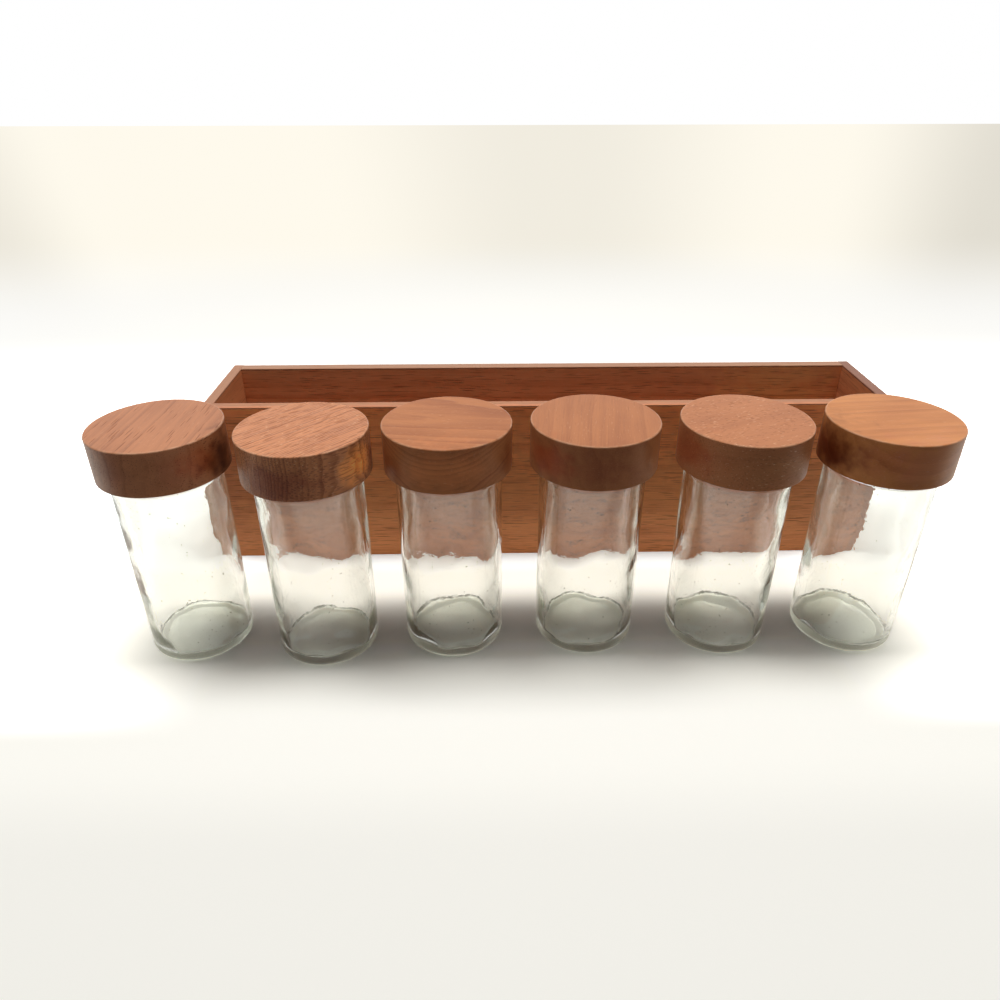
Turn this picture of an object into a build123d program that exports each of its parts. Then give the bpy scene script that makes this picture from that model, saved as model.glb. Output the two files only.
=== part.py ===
from build123d import *

import os

# An open wooden tray for spice jars, and its six glass jars with turned wooden lids, standing
# in a loose row in front of it. All sizes are millimetres. +X runs along the tray, +Y points
# from the jars to the tray, +Z is up. The origin is the centre of the tray's underside.

# Tray
TRAY_LENGTH = 340.0
TRAY_DEPTH = 60.0
TRAY_HEIGHT = 86.0
END_THICKNESS = 5.2
LONG_BOARD_THICKNESS = 6.0
BOTTOM_THICKNESS = 4.0
END_LEDGE = 2.6  # how far the bottom board is let in under each end board
LONG_LEDGE = 3.0  # how far the bottom board is let in under each long board
RIM_ROUND = 0.4  # arrises eased with sandpaper

# Brads
BRAD_DIAMETER = 1.3
BRAD_HEAD_DIAMETER = 2.2
BRAD_HEAD_THICKNESS = 0.6
CORNER_BRAD_LENGTH = 18.0
CORNER_BRAD_COUNT = 3  # up each corner
CORNER_BRAD_MARGIN = 16.0  # lowest and highest brad, from the board's edges
BOTTOM_BRAD_LENGTH = 12.0
BOTTOM_BRAD_COUNT = 5  # along each long board
BOTTOM_BRAD_MARGIN = 30.0  # outermost brads, from the tray's ends

# Glass jar
JAR_COUNT = 6
JAR_RADIUS = 22.3
JAR_WALL = 2.3
JAR_FLOOR = 4.0
JAR_SHOULDER_HEIGHT = 86.0
SHOULDER_ROUND = 2.0
HEEL_ROUND = 3.0
FLOOR_ROUND = 3.0
STANDING_RING_RADIUS = 16.0
PUSH_UP = 0.8  # height of the hollow under the floor
NECK_RADIUS = 19.0
NECK_WALL = 2.3
NECK_HEIGHT = 10.0
LIP_ROUND = 0.8

# Turned lid
LID_RADIUS = 26.5
LID_HEIGHT = 19.2
LID_TOP_ROUND = 0.6
LID_BOTTOM_ROUND = 0.4
LID_GAP = 0.2  # between the lid's underside and the jar's shoulder
NECK_PLAY = 1.0  # between the neck and the wall of the lid's recess

# Stopper
STOPPER_FLANGE = 2.0
STOPPER_DEPTH = 8.0
STOPPER_WALL = 1.5
STOPPER_PLAY = 0.05  # between the ribs and the neck's bore
RIB_HEIGHT = 0.5
RIB_COUNT = 3

# Where the jars stand
LID_SPACING = 6.7  # between neighbouring lids
ROW_DISTANCE = 35.0  # from the tray's front to the lids
ROW_SHIFT = -14.3  # middle of the row, from the middle of the tray
NUDGES = [(0, -0.9), (-0.4, -5.0), (-2.7, -0.1), (-2.0, 1.3), (-0.5, 0), (0, 0)]

# Worked out from the sizes above
LONG_BOARD_LENGTH = TRAY_LENGTH - 2 * END_THICKNESS
BOTTOM_LENGTH = LONG_BOARD_LENGTH + 2 * END_LEDGE
BOTTOM_DEPTH = TRAY_DEPTH - 2 * LONG_BOARD_THICKNESS + 2 * LONG_LEDGE
LONG_BOARD_Y = (TRAY_DEPTH - LONG_BOARD_THICKNESS) / 2
END_BOARD_X = (TRAY_LENGTH - END_THICKNESS) / 2
BORE_RADIUS = NECK_RADIUS - NECK_WALL
CAVITY_RADIUS = JAR_RADIUS - JAR_WALL
CAVITY_TOP = JAR_SHOULDER_HEIGHT - JAR_WALL
MOUTH_HEIGHT = JAR_SHOULDER_HEIGHT + NECK_HEIGHT
LID_UNDERSIDE = JAR_SHOULDER_HEIGHT + LID_GAP
RECESS_RADIUS = NECK_RADIUS + NECK_PLAY
RECESS_CEILING = MOUTH_HEIGHT + STOPPER_FLANGE
PLUG_RADIUS = BORE_RADIUS - STOPPER_PLAY - RIB_HEIGHT
JAR_PITCH = 2 * LID_RADIUS + LID_SPACING
ROW_Y = -(TRAY_DEPTH / 2 + ROW_DISTANCE + LID_RADIUS)


def spread(low, high, count):
    """Evenly spaced values from low to high."""
    return [low + (high - low) * step / (count - 1) for step in range(count)]


def turned(outline):
    """A solid turned about the vertical axis from a half outline of (radius, height)."""
    return revolve(Plane.XZ * outline, axis=Axis.Z)


def half_outline(*corners):
    """A closed half outline from corners (radius, height, rounding)."""
    outline = make_face(Polyline(*[(radius, height) for radius, height, rounding in corners], close=True))
    for radius, height, rounding in corners:
        if rounding:
            corner = outline.vertices().sort_by_distance((radius, height, 0))[0]
            outline = fillet(corner, rounding)
    return outline


def brad(length):
    """A brad standing head down, its head's face at the origin."""
    shank = Cylinder(BRAD_DIAMETER / 2, length, align=(Align.CENTER, Align.CENTER, Align.MIN))
    head = Cylinder(
        BRAD_HEAD_DIAMETER / 2, BRAD_HEAD_THICKNESS, align=(Align.CENTER, Align.CENTER, Align.MIN)
    )
    return shank + head


def make_corner_brads():
    """Brads driven through the end boards into the long boards, heads flush."""
    heights = spread(CORNER_BRAD_MARGIN, TRAY_HEIGHT - CORNER_BRAD_MARGIN, CORNER_BRAD_COUNT)
    brads = []
    for side in (-1, 1):
        for y in (-LONG_BOARD_Y, LONG_BOARD_Y):
            for z in heights:
                inward = Plane(origin=(side * TRAY_LENGTH / 2, y, z), z_dir=(-side, 0, 0))
                brads.append(inward * brad(CORNER_BRAD_LENGTH))
    return brads


def make_bottom_brads():
    """Brads driven up through the bottom board into the long boards, heads flush."""
    reach = TRAY_LENGTH / 2 - BOTTOM_BRAD_MARGIN
    ledge_y = (BOTTOM_DEPTH - LONG_LEDGE) / 2
    brads = []
    for y in (-ledge_y, ledge_y):
        for x in spread(-reach, reach, BOTTOM_BRAD_COUNT):
            brads.append(Pos(x, y, 0) * brad(BOTTOM_BRAD_LENGTH))
    return brads


def make_bottom_board():
    return Pos(0, 0, BOTTOM_THICKNESS / 2) * Box(BOTTOM_LENGTH, BOTTOM_DEPTH, BOTTOM_THICKNESS)


def make_long_board(side):
    """The front (side -1) or back (side 1) board, its upper edges eased."""
    board = Box(LONG_BOARD_LENGTH, LONG_BOARD_THICKNESS, TRAY_HEIGHT)
    rim = board.edges().filter_by(Axis.X).group_by(Axis.Z)[-1]
    board = fillet(rim, RIM_ROUND)
    return Pos(0, side * LONG_BOARD_Y, TRAY_HEIGHT / 2) * board


def make_end_board(side):
    """The left (side -1) or right (side 1) end board, its outer edges and rim eased."""
    board = Box(END_THICKNESS, TRAY_DEPTH, TRAY_HEIGHT)
    outer_face = board.faces().sort_by(Axis.X)[-1 if side > 0 else 0]
    inner_rim = board.edges().filter_by(Axis.Y).group_by(Axis.Z)[-1].sort_by(Axis.X)[0 if side > 0 else -1]
    board = fillet([*outer_face.edges(), inner_rim], RIM_ROUND)
    return Pos(side * END_BOARD_X, 0, TRAY_HEIGHT / 2) * board


def make_tray():
    """The five boards and the two sets of brads, each board cut where another piece sits in it."""
    bottom_board = make_bottom_board()
    corner_brads = make_corner_brads()
    bottom_brads = make_bottom_brads()
    sides = {
        "front_board": make_long_board(-1),
        "back_board": make_long_board(1),
        "left_end": make_end_board(-1),
        "right_end": make_end_board(1),
    }
    pieces = {name: side - [bottom_board, *corner_brads, *bottom_brads] for name, side in sides.items()}
    pieces["bottom_board"] = bottom_board - bottom_brads
    pieces["corner_brads"] = Compound(children=corner_brads)
    pieces["bottom_brads"] = Compound(children=bottom_brads)
    return pieces


def make_jar():
    """A straight-sided jar: thick floor, round heel, short shoulder and plain narrower neck."""
    glass = turned(
        half_outline(
            (0, 0, 0),
            (JAR_RADIUS, 0, HEEL_ROUND),
            (JAR_RADIUS, JAR_SHOULDER_HEIGHT, SHOULDER_ROUND),
            (NECK_RADIUS, JAR_SHOULDER_HEIGHT, 0),
            (NECK_RADIUS, MOUTH_HEIGHT, LIP_ROUND),
            (BORE_RADIUS, MOUTH_HEIGHT, LIP_ROUND),
            (BORE_RADIUS, CAVITY_TOP, 0),
            (CAVITY_RADIUS, CAVITY_TOP, SHOULDER_ROUND),
            (CAVITY_RADIUS, JAR_FLOOR, FLOOR_ROUND),
            (0, JAR_FLOOR, 0),
        )
    )
    push_up_radius = (STANDING_RING_RADIUS**2 + PUSH_UP**2) / (2 * PUSH_UP)
    return glass - Pos(0, 0, PUSH_UP - push_up_radius) * Sphere(push_up_radius)


def make_lid():
    """A solid cap turned from one block, with a recess that clears the jar's neck."""
    top = LID_UNDERSIDE + LID_HEIGHT
    return turned(
        half_outline(
            (0, RECESS_CEILING, 0),
            (RECESS_RADIUS, RECESS_CEILING, 0),
            (RECESS_RADIUS, LID_UNDERSIDE, 0),
            (LID_RADIUS, LID_UNDERSIDE, LID_BOTTOM_ROUND),
            (LID_RADIUS, top, LID_TOP_ROUND),
            (0, top, 0),
        )
    )


def make_stopper():
    """A flange glued into the lid's recess, and a hollow ribbed plug that fills the neck."""
    plug_bottom = MOUTH_HEIGHT - STOPPER_DEPTH
    plug_inner = PLUG_RADIUS - STOPPER_WALL
    stopper = turned(
        half_outline(
            (0, MOUTH_HEIGHT, 0),
            (plug_inner, MOUTH_HEIGHT, 0),
            (plug_inner, plug_bottom, 0),
            (PLUG_RADIUS, plug_bottom, 0),
            (PLUG_RADIUS, MOUTH_HEIGHT, 0),
            (RECESS_RADIUS, MOUTH_HEIGHT, 0),
            (RECESS_RADIUS, RECESS_CEILING, 0),
            (0, RECESS_CEILING, 0),
        )
    )
    rib_step = STOPPER_DEPTH / (RIB_COUNT + 1)
    for rib in range(RIB_COUNT):
        rib_z = plug_bottom + rib_step * (rib + 1)
        stopper += Pos(0, 0, rib_z) * Torus(PLUG_RADIUS, RIB_HEIGHT)
    return stopper


def make_jars():
    """Every jar with its lid and stopper, left to right, each nudged off an exact row."""
    jar, lid, stopper = make_jar(), make_lid(), make_stopper()
    pieces = {}
    for index, (nudge_x, nudge_y) in enumerate(NUDGES[:JAR_COUNT]):
        x = ROW_SHIFT + (index - (JAR_COUNT - 1) / 2) * JAR_PITCH + nudge_x
        place = Pos(x, ROW_Y + nudge_y, 0)
        number = index + 1
        pieces[f"jar_{number}"] = place * jar
        pieces[f"lid_{number}"] = place * lid
        pieces[f"stopper_{number}"] = place * stopper
    return pieces


os.makedirs("parts", exist_ok=True)
for name, piece in {**make_tray(), **make_jars()}.items():
    export_step(piece, f"parts/{name}.step")
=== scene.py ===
import math

import bmesh
import bpy
from mathutils import Euler, Matrix, Vector


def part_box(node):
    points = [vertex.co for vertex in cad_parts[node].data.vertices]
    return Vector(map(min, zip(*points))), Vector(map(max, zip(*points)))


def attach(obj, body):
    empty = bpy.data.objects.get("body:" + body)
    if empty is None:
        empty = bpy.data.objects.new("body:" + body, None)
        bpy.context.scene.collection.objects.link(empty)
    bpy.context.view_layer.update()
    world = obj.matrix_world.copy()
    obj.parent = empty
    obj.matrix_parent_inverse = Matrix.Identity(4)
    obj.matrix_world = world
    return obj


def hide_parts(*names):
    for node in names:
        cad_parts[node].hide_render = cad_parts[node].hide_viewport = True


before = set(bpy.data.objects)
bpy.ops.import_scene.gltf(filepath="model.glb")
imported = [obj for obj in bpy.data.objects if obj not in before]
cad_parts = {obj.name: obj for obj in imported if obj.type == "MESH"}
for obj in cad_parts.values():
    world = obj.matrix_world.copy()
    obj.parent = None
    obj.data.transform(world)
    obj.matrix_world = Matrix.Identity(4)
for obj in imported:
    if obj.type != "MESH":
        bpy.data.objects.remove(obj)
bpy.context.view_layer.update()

# An open wooden tray, and six spice jars in a loose row in front of it. Places are metres in
# the frame's own axes: +X along the tray, +Y from the jars to the tray, +Z up. Sizes of small
# things are millimetres, turned to metres by MM.
MM = 0.001
JAR_COUNT = 6


# Node helpers


def new_node(tree, kind, inputs=None, family="Shader", **settings):
    """A node of one kind. Each input is a plain value or another node's output to link from."""
    node = tree.nodes.new(f"{family}Node{kind}")
    for name, value in settings.items():
        setattr(node, name, value)
    for key, value in (inputs or {}).items():
        if isinstance(value, bpy.types.NodeSocket):
            tree.links.new(value, node.inputs[key])
        else:
            node.inputs[key].default_value = value
    return node


def calc(tree, operation, *values):
    return new_node(tree, "Math", dict(enumerate(values)), operation=operation).outputs[0]


def vector_calc(tree, operation, *values):
    return new_node(tree, "VectorMath", dict(enumerate(values)), operation=operation).outputs[0]


def length(tree, vector):
    return new_node(tree, "VectorMath", {0: vector}, operation="LENGTH").outputs["Value"]


def scaled(tree, vector, factor):
    inputs = {0: vector, "Scale": factor}
    return new_node(tree, "VectorMath", inputs, operation="SCALE").outputs[0]


def split(tree, vector):
    """A vector's X, Y and Z."""
    return new_node(tree, "SeparateXYZ", {0: vector}).outputs


def join(tree, x, y, z):
    return new_node(tree, "CombineXYZ", {0: x, 1: y, 2: z}).outputs[0]


def fade(tree, value, start, end, low=0.0, high=1.0):
    """A smooth step from low to high as value goes from start to end."""
    inputs = {"Value": value, "From Min": start, "From Max": end, "To Min": low, "To Max": high}
    return new_node(tree, "MapRange", inputs, interpolation_type="SMOOTHSTEP").outputs[0]


def ramp(tree, value, start, end):
    """A straight rise from 0 to 1 as value goes from start to end."""
    inputs = {"Value": value, "From Min": start, "From Max": end}
    return new_node(tree, "MapRange", inputs).outputs[0]


def blend(tree, share, below, above, mode="MIX"):
    """The colour above laid over the colour below, by its share."""
    inputs = {0: share, 6: below, 7: above}
    return new_node(tree, "Mix", inputs, data_type="RGBA", blend_type=mode).outputs[2]


def cloud(tree, place, size, detail=2.0, roughness=0.5):
    """Noise about 0.5, with features of the given size or (x, y, z) sizes in place's units."""
    if not isinstance(size, tuple):
        size = (size, size, size)
    place = vector_calc(tree, "DIVIDE", place, size)
    inputs = {"Vector": place, "Scale": 1.0, "Detail": detail, "Roughness": roughness}
    return new_node(tree, "TexNoise", inputs).outputs["Fac"]


def object_place(tree):
    return new_node(tree, "TexCoord").outputs["Object"]


def new_group(name, inputs, outputs, family="Shader"):
    """A node group, with (label, socket type, default value) inputs and outputs."""
    tree = bpy.data.node_groups.new(name, family + "NodeTree")
    for label, kind, value in inputs:
        socket = tree.interface.new_socket(label, in_out="INPUT", socket_type=kind)
        if value is not None:
            socket.default_value = value
    for label, kind in outputs:
        tree.interface.new_socket(label, in_out="OUTPUT", socket_type=kind)
    taken = tree.nodes.new("NodeGroupInput").outputs
    given = tree.nodes.new("NodeGroupOutput").inputs
    return tree, taken, given


def use_group(tree, group, inputs):
    return new_node(tree, "Group", inputs, node_tree=group).outputs


def new_material(name):
    material = bpy.data.materials.new(name)
    material.use_nodes = True
    material.node_tree.nodes.clear()
    return material, material.node_tree


def new_object(name, data):
    thing = bpy.data.objects.new(name, data)
    bpy.context.scene.collection.objects.link(thing)
    return thing


# Wood


# Features of the teak, each as its sizes along and across the trunk in mm
TRUNK_WAVES = (95.0, 26.0, 26.0)
FINE_FIBRES = (14.0, 0.5, 0.5)
BROAD_FIBRES = (60.0, 2.2, 2.2)
DARK_STREAKS = (38.0, 0.9, 0.9)
PORE_CROWDS = (30.0, 8.0, 8.0)
PALE_FLECKS = (2.6, 0.5, 0.5)
PATCHES = (40.0, 13.0, 13.0)
RING_RAGGED = 9.0  # size of the unevenness in the rings, and how many rings it shifts them
RING_SHIFT = 1.6
LATE_WOOD = (0.15, 0.85)  # share of a year's ring over which it darkens, and drops back
LATE_END = (1.0, 0.88)
PALEST_YEAR = 0.15  # a faint year's late wood beside a strong one's
FINE_SHARE = 0.65  # of the fine fibres beside the broad ones
FIBRE_CONTRAST = 2.6
PATCH_CONTRAST = 2.4
STREAK_EDGE = (0.56, 0.72)
FLECK_EDGE = (0.34, 0.26)
FLECK_COLOR = (0.86, 0.56, 0.36, 1)
SHADE_SPAN = (-0.45, 1.2)  # from the palest wood to the deepest
# How wide the pores are: all of them, those in a crowd, and those in the early wood
PORE_WIDTH = 0.4
CROWD_WIDTH = 0.35
EARLY_WIDTH = 0.05
EARLY_WOOD = (0.5, 0.1)
PORE_EDGE = (0.05, -0.05)
# What the fibres, the pores and the late wood add to the roughness and the relief
FIBRE_ROUGHNESS = 0.16
PORE_ROUGHNESS = 0.3
FIBRE_RELIEF = 0.35
RING_RELIEF = 0.5
# Painted highlight on a lid's upper arris: its colour, and how much of it is laid over the wood
ARRIS_HIGHLIGHT_COLOR = (0.80, 0.50, 0.33, 1)
ARRIS_HIGHLIGHT_SHARE = 0.35
DRY_COLOR = (0.375, 0.182, 0.108)  # upper edges that have lost their oil
WOOD_ROUGHNESS = 0.30
SPOT_RAGGED = 0.006  # size of the rags at a soft spot's edge
SPOT_FULL = 0.15  # share of its reach within which it is full
# Where a lid's upper arris takes its painted highlight: in from its radius, down from its top, and in
# stretches
ARRIS_INNER = 0.0009
ARRIS_OUTER = 0.0002
ARRIS_LOW = 0.0009
ARRIS_HIGH = 0.0003
ARRIS_STRETCH = 0.005
ARRIS_BROKEN = (0.30, 0.62)
# Where the boards' upper edges have lost their oil: how far below the top, with a ragged edge
DRY_DEPTH = 0.0007
DRY_FADE = 0.0004
DRY_RAGGED = (0.004, 0.004, 0.002)
DRY_WANDER = 0.0008


def make_grain_group():
    """Teak as a solid in mm: rings about a trunk along X, fibres, streaks, pores and patches."""
    tree, taken, given = new_group(
        "Teak grain",
        [
            ("Place", "NodeSocketVector", (0, 0, 0)),
            ("Pale", "NodeSocketColor", (0.52, 0.205, 0.088, 1)),
            ("Deep", "NodeSocketColor", (0.27, 0.085, 0.032, 1)),
            ("Dark", "NodeSocketColor", (0.10, 0.028, 0.012, 1)),
            ("Ring Width", "NodeSocketFloat", 3.0),
            ("Ring Strength", "NodeSocketFloat", 0.4),
            ("Wander", "NodeSocketFloat", 4.0),
            ("Fibre Strength", "NodeSocketFloat", 0.6),
            ("Streak Strength", "NodeSocketFloat", 0.4),
            ("Pore Strength", "NodeSocketFloat", 0.5),
            ("Pore Share", "NodeSocketFloat", 0.3),
            ("Pore Length", "NodeSocketFloat", 11.0),
            ("Pore Gap", "NodeSocketFloat", 0.9),
            ("Fleck Strength", "NodeSocketFloat", 0.15),
            ("Patch Strength", "NodeSocketFloat", 0.4),
        ],
        [
            ("Color", "NodeSocketColor"),
            ("Roughness", "NodeSocketFloat"),
            ("Height", "NodeSocketFloat"),
        ],
    )
    place = taken["Place"]
    # Slow waves of the trunk bend the rings and the fibres together
    trunk = vector_calc(tree, "DIVIDE", place, TRUNK_WAVES)
    waves = {"Vector": trunk, "Scale": 1.0, "Detail": 1.5}
    sway = new_node(tree, "TexNoise", waves).outputs["Color"]
    sway = vector_calc(tree, "SUBTRACT", sway, (0.5, 0.5, 0.5))
    wander = join(tree, 0.0, taken["Wander"], taken["Wander"])
    bent = vector_calc(tree, "ADD", place, vector_calc(tree, "MULTIPLY", sway, wander))
    across = vector_calc(tree, "MULTIPLY", bent, (0.0, 1.0, 1.0))
    radius = length(tree, across)
    uneven = calc(tree, "MULTIPLY", cloud(tree, across, RING_RAGGED), RING_SHIFT)
    ring = calc(tree, "ADD", calc(tree, "DIVIDE", radius, taken["Ring Width"]), uneven)
    phase = calc(tree, "FRACT", ring)
    count = {"W": calc(tree, "FLOOR", ring)}
    year = new_node(tree, "TexWhiteNoise", count, noise_dimensions="1D").outputs["Value"]
    late = calc(tree, "MULTIPLY", fade(tree, phase, *LATE_WOOD), fade(tree, phase, *LATE_END))
    late = calc(tree, "MULTIPLY", late, fade(tree, year, 0.0, 1.0, PALEST_YEAR, 1.0))
    # Fibres: long thin streaks at two sizes, and a few dark ones
    fine = cloud(tree, bent, FINE_FIBRES, detail=3.0, roughness=0.65)
    broad = calc(tree, "MULTIPLY", cloud(tree, bent, BROAD_FIBRES), 1.0 - FINE_SHARE)
    fibre = calc(tree, "ADD", calc(tree, "MULTIPLY", fine, FINE_SHARE), broad)
    fibre = calc(tree, "MULTIPLY", calc(tree, "SUBTRACT", fibre, 0.5), FIBRE_CONTRAST)
    streak = cloud(tree, bent, DARK_STREAKS, detail=2.5, roughness=0.6)
    streak = calc(tree, "MULTIPLY", fade(tree, streak, *STREAK_EDGE), taken["Streak Strength"])
    # Pores: short dark dashes, wider in the early wood and in crowds, and light flecks between
    stretch = join(tree, taken["Pore Length"], taken["Pore Gap"], taken["Pore Gap"])
    cell = {"Vector": vector_calc(tree, "DIVIDE", bent, stretch), "Scale": 1.0}
    far = new_node(tree, "TexVoronoi", cell).outputs["Distance"]
    crowd = calc(tree, "SUBTRACT", cloud(tree, bent, PORE_CROWDS, detail=1.0), 0.5)
    wide = calc(tree, "MULTIPLY", taken["Pore Share"], PORE_WIDTH)
    wide = calc(tree, "ADD", wide, calc(tree, "MULTIPLY", crowd, CROWD_WIDTH))
    wide = calc(tree, "ADD", wide, fade(tree, phase, *EARLY_WOOD, 0.0, EARLY_WIDTH))
    pore = fade(tree, calc(tree, "SUBTRACT", far, wide), *PORE_EDGE)
    pore = calc(tree, "MULTIPLY", pore, taken["Pore Strength"])
    fleck = fade(tree, cloud(tree, bent, PALE_FLECKS, detail=1.0), *FLECK_EDGE)
    fleck = calc(tree, "MULTIPLY", fleck, taken["Fleck Strength"])
    patch = calc(tree, "SUBTRACT", cloud(tree, bent, PATCHES), 0.5)
    patch = calc(tree, "MULTIPLY", patch, PATCH_CONTRAST)

    shade = calc(tree, "MULTIPLY", late, taken["Ring Strength"])
    shade = calc(tree, "SUBTRACT", shade, calc(tree, "MULTIPLY", fibre, taken["Fibre Strength"]))
    shade = calc(tree, "SUBTRACT", shade, calc(tree, "MULTIPLY", patch, taken["Patch Strength"]))
    shade = fade(tree, shade, *SHADE_SPAN)
    color = blend(tree, shade, taken["Pale"], taken["Deep"])
    color = blend(tree, fleck, color, FLECK_COLOR)
    color = blend(tree, calc(tree, "MAXIMUM", pore, streak), color, taken["Dark"])
    tree.links.new(color, given["Color"])
    rough = calc(tree, "MULTIPLY", fine, FIBRE_ROUGHNESS)
    rough = calc(tree, "ADD", rough, calc(tree, "MULTIPLY", pore, PORE_ROUGHNESS))
    tree.links.new(rough, given["Roughness"])
    relief = calc(tree, "SUBTRACT", calc(tree, "MULTIPLY", fine, FIBRE_RELIEF), pore)
    relief = calc(tree, "ADD", relief, calc(tree, "MULTIPLY", late, RING_RELIEF))
    tree.links.new(relief, given["Height"])
    return tree


def make_spot_group():
    """A soft ragged patch: full at its centre and nothing past its reach along each axis."""
    tree, taken, given = new_group(
        "Soft spot",
        [
            ("Place", "NodeSocketVector", (0, 0, 0)),
            ("Centre", "NodeSocketVector", (0, 0, 0)),
            ("Reach", "NodeSocketVector", (0.01, 0.01, 0.01)),
            ("Strength", "NodeSocketFloat", 0.5),
        ],
        [("Mask", "NodeSocketFloat")],
    )
    offset = vector_calc(tree, "SUBTRACT", taken["Place"], taken["Centre"])
    far = length(tree, vector_calc(tree, "DIVIDE", offset, taken["Reach"]))
    ragged = calc(tree, "SUBTRACT", cloud(tree, taken["Place"], SPOT_RAGGED), 0.5)
    far = calc(tree, "ADD", far, ragged)
    mask = calc(tree, "MULTIPLY", fade(tree, far, 1.0, SPOT_FULL), taken["Strength"])
    tree.links.new(mask, given["Mask"])
    return tree


def painted_arris_highlight(tree, place, centre, radius):
    """Where a turned piece's upper arris takes its painted highlight, in broken stretches."""
    offset = vector_calc(tree, "SUBTRACT", place, centre)
    height = split(tree, offset)["Z"]
    reach = length(tree, vector_calc(tree, "MULTIPLY", offset, (1.0, 1.0, 0.0)))
    out = fade(tree, reach, radius - ARRIS_INNER, radius - ARRIS_OUTER)
    up = fade(tree, height, -ARRIS_LOW, -ARRIS_HIGH)
    broken = fade(tree, cloud(tree, place, ARRIS_STRETCH, detail=3.0), *ARRIS_BROKEN)
    return calc(tree, "MULTIPLY", calc(tree, "MULTIPLY", out, up), broken)


def wood_material(
    name,
    grain,
    spot,
    centre,
    along,
    pith,
    sheen=0.22,
    relief=0.06,
    spots=(),
    rim=None,
    bare=None,
    oil_lost=0.6,
    worn=DRY_COLOR,
    **look,
):
    """A piece's own wood, with look as the grain group's own inputs.

    The trunk runs level at along degrees from +X, and its pith lies pith mm from the piece's
    centre, beside and above it. Relief is the depth of the open grain in mm. Each spot is its
    centre and reach in metres, what it multiplies the colour by and how strongly; some spots are
    painted shade or painted light. A rim, given by its centre and radius, is a turned piece's upper
    arris, painted pale as a highlight. Above bare, a height in metres, the wood has lost its oil, by
    the share oil_lost, and shows the worn colour."""
    material, tree = new_material(name)
    turn = Euler((0, 0, math.radians(along)))
    away = turn.to_matrix() @ Vector((0, *pith)) * MM
    here = object_place(tree)
    cut = {"Vector": here, "Location": Vector(centre) + away, "Rotation": turn}
    cut["Scale"] = (MM, MM, MM)
    place = new_node(tree, "Mapping", cut, vector_type="TEXTURE").outputs[0]
    wood = use_group(tree, grain, {"Place": place, **look})
    color = wood["Color"]
    for spot_centre, reach, tint, strength in spots:
        inputs = {"Place": here, "Centre": spot_centre, "Reach": reach, "Strength": strength}
        mask = use_group(tree, spot, inputs)["Mask"]
        color = blend(tree, mask, color, (*tint, 1), mode="MULTIPLY")
    # A painted highlight: the upper arris of a lid made paler in broken stretches
    if rim:
        highlighted = blend(tree, ARRIS_HIGHLIGHT_SHARE, color, ARRIS_HIGHLIGHT_COLOR)
        color = blend(tree, painted_arris_highlight(tree, here, *rim), color, highlighted)
    if bare:
        height = split(tree, here)["Z"]
        ragged = calc(tree, "MULTIPLY", cloud(tree, here, DRY_RAGGED, detail=3.0), DRY_WANDER)
        edge = fade(tree, calc(tree, "ADD", height, ragged), bare, bare + DRY_FADE)
        color = blend(tree, calc(tree, "MULTIPLY", edge, oil_lost), color, (*worn, 1))
    grained = {"Height": wood["Height"], "Strength": 0.8, "Distance": relief * MM}
    bump = new_node(tree, "Bump", grained)
    inputs = {
        "Base Color": color,
        "Roughness": calc(tree, "ADD", wood["Roughness"], WOOD_ROUGHNESS),
        "Normal": bump.outputs[0],
        "Specular IOR Level": sheen,
        "IOR": 1.45,
    }
    surface = new_node(tree, "BsdfPrincipled", inputs)
    new_node(tree, "OutputMaterial", {"Surface": surface.outputs[0]})
    return material


# Glass


# Glass jar, beyond the sizes that its node's box gives
GLASS_WALL = 2.3
GLASS_FLOOR = 4.0
SHOULDER_HEIGHT = 86.0
SHOULDER_ROUND = 2.0
HEEL_ROUND = 3.0
FLOOR_ROUND = 0.7
FLOOR_GROOVE = 0.32  # left by the plunger round the edge of the inner floor
STANDING_RING = 16.0
PUSH_UP = 0.8
NECK_RADIUS = 19.0
NECK_WALL = 2.3
LIP_ROUND = 0.8
GLASS_BASE = (0.004, 0.007)  # heights between which the thick foot gives way to the wall
GLASS_RIPPLE = (0.0042, 0.0042, 0.0055)  # size of the skin's ripples, and their depth in mm
RIPPLE_DEPTH = 0.04
STIPPLE_HEIGHTS = (0.0006, 0.0026)  # between which the stippled foot gives way to clear glass
STIPPLE_ROUGHNESS = 0.3
CLEAR_ROUGHNESS = 0.003
GLASS_COLOR = (0.995, 0.995, 0.98, 1)
SPECK_SIZE = 0.0011
SPECK_EDGE = (0.83, 0.86)
SPECK_COLOR = (0.25, 0.22, 0.17, 1)
# A dark line along the foot of the inner wall: dust, and painted shade for the dark edge that
# refraction in the thick glass shows there
DUST_AND_SHADE_SIZE = 0.003
DUST_AND_SHADE_EDGE = (0.3, 0.55)
DUST_AND_SHADE_THIN = 0.35  # where it is thinnest
DUST_AND_SHADE_COLOR = (0.08, 0.08, 0.06, 1)
DEPTH_COLOR = (0.40, 0.62, 0.40, 1)  # what thick glass lets through
DEPTH_DENSITY = 5.0
# What the lamp sends on: less through the wall, which it meets at a slant, than through the foot
LAMP_THROUGH_WALL = (0.72, 0.73, 0.71, 1)
LAMP_THROUGH_FOOT = (0.96, 0.96, 0.93, 1)
GLASS_SEGMENTS = 144
GLASS_STEP = 1.3  # spacing of the rings up the wall
GLASS_SEEDS = [1.0, 2.0, 3.0, 14.0, 5.0, 16.0]  # each jar's own unevenness

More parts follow.
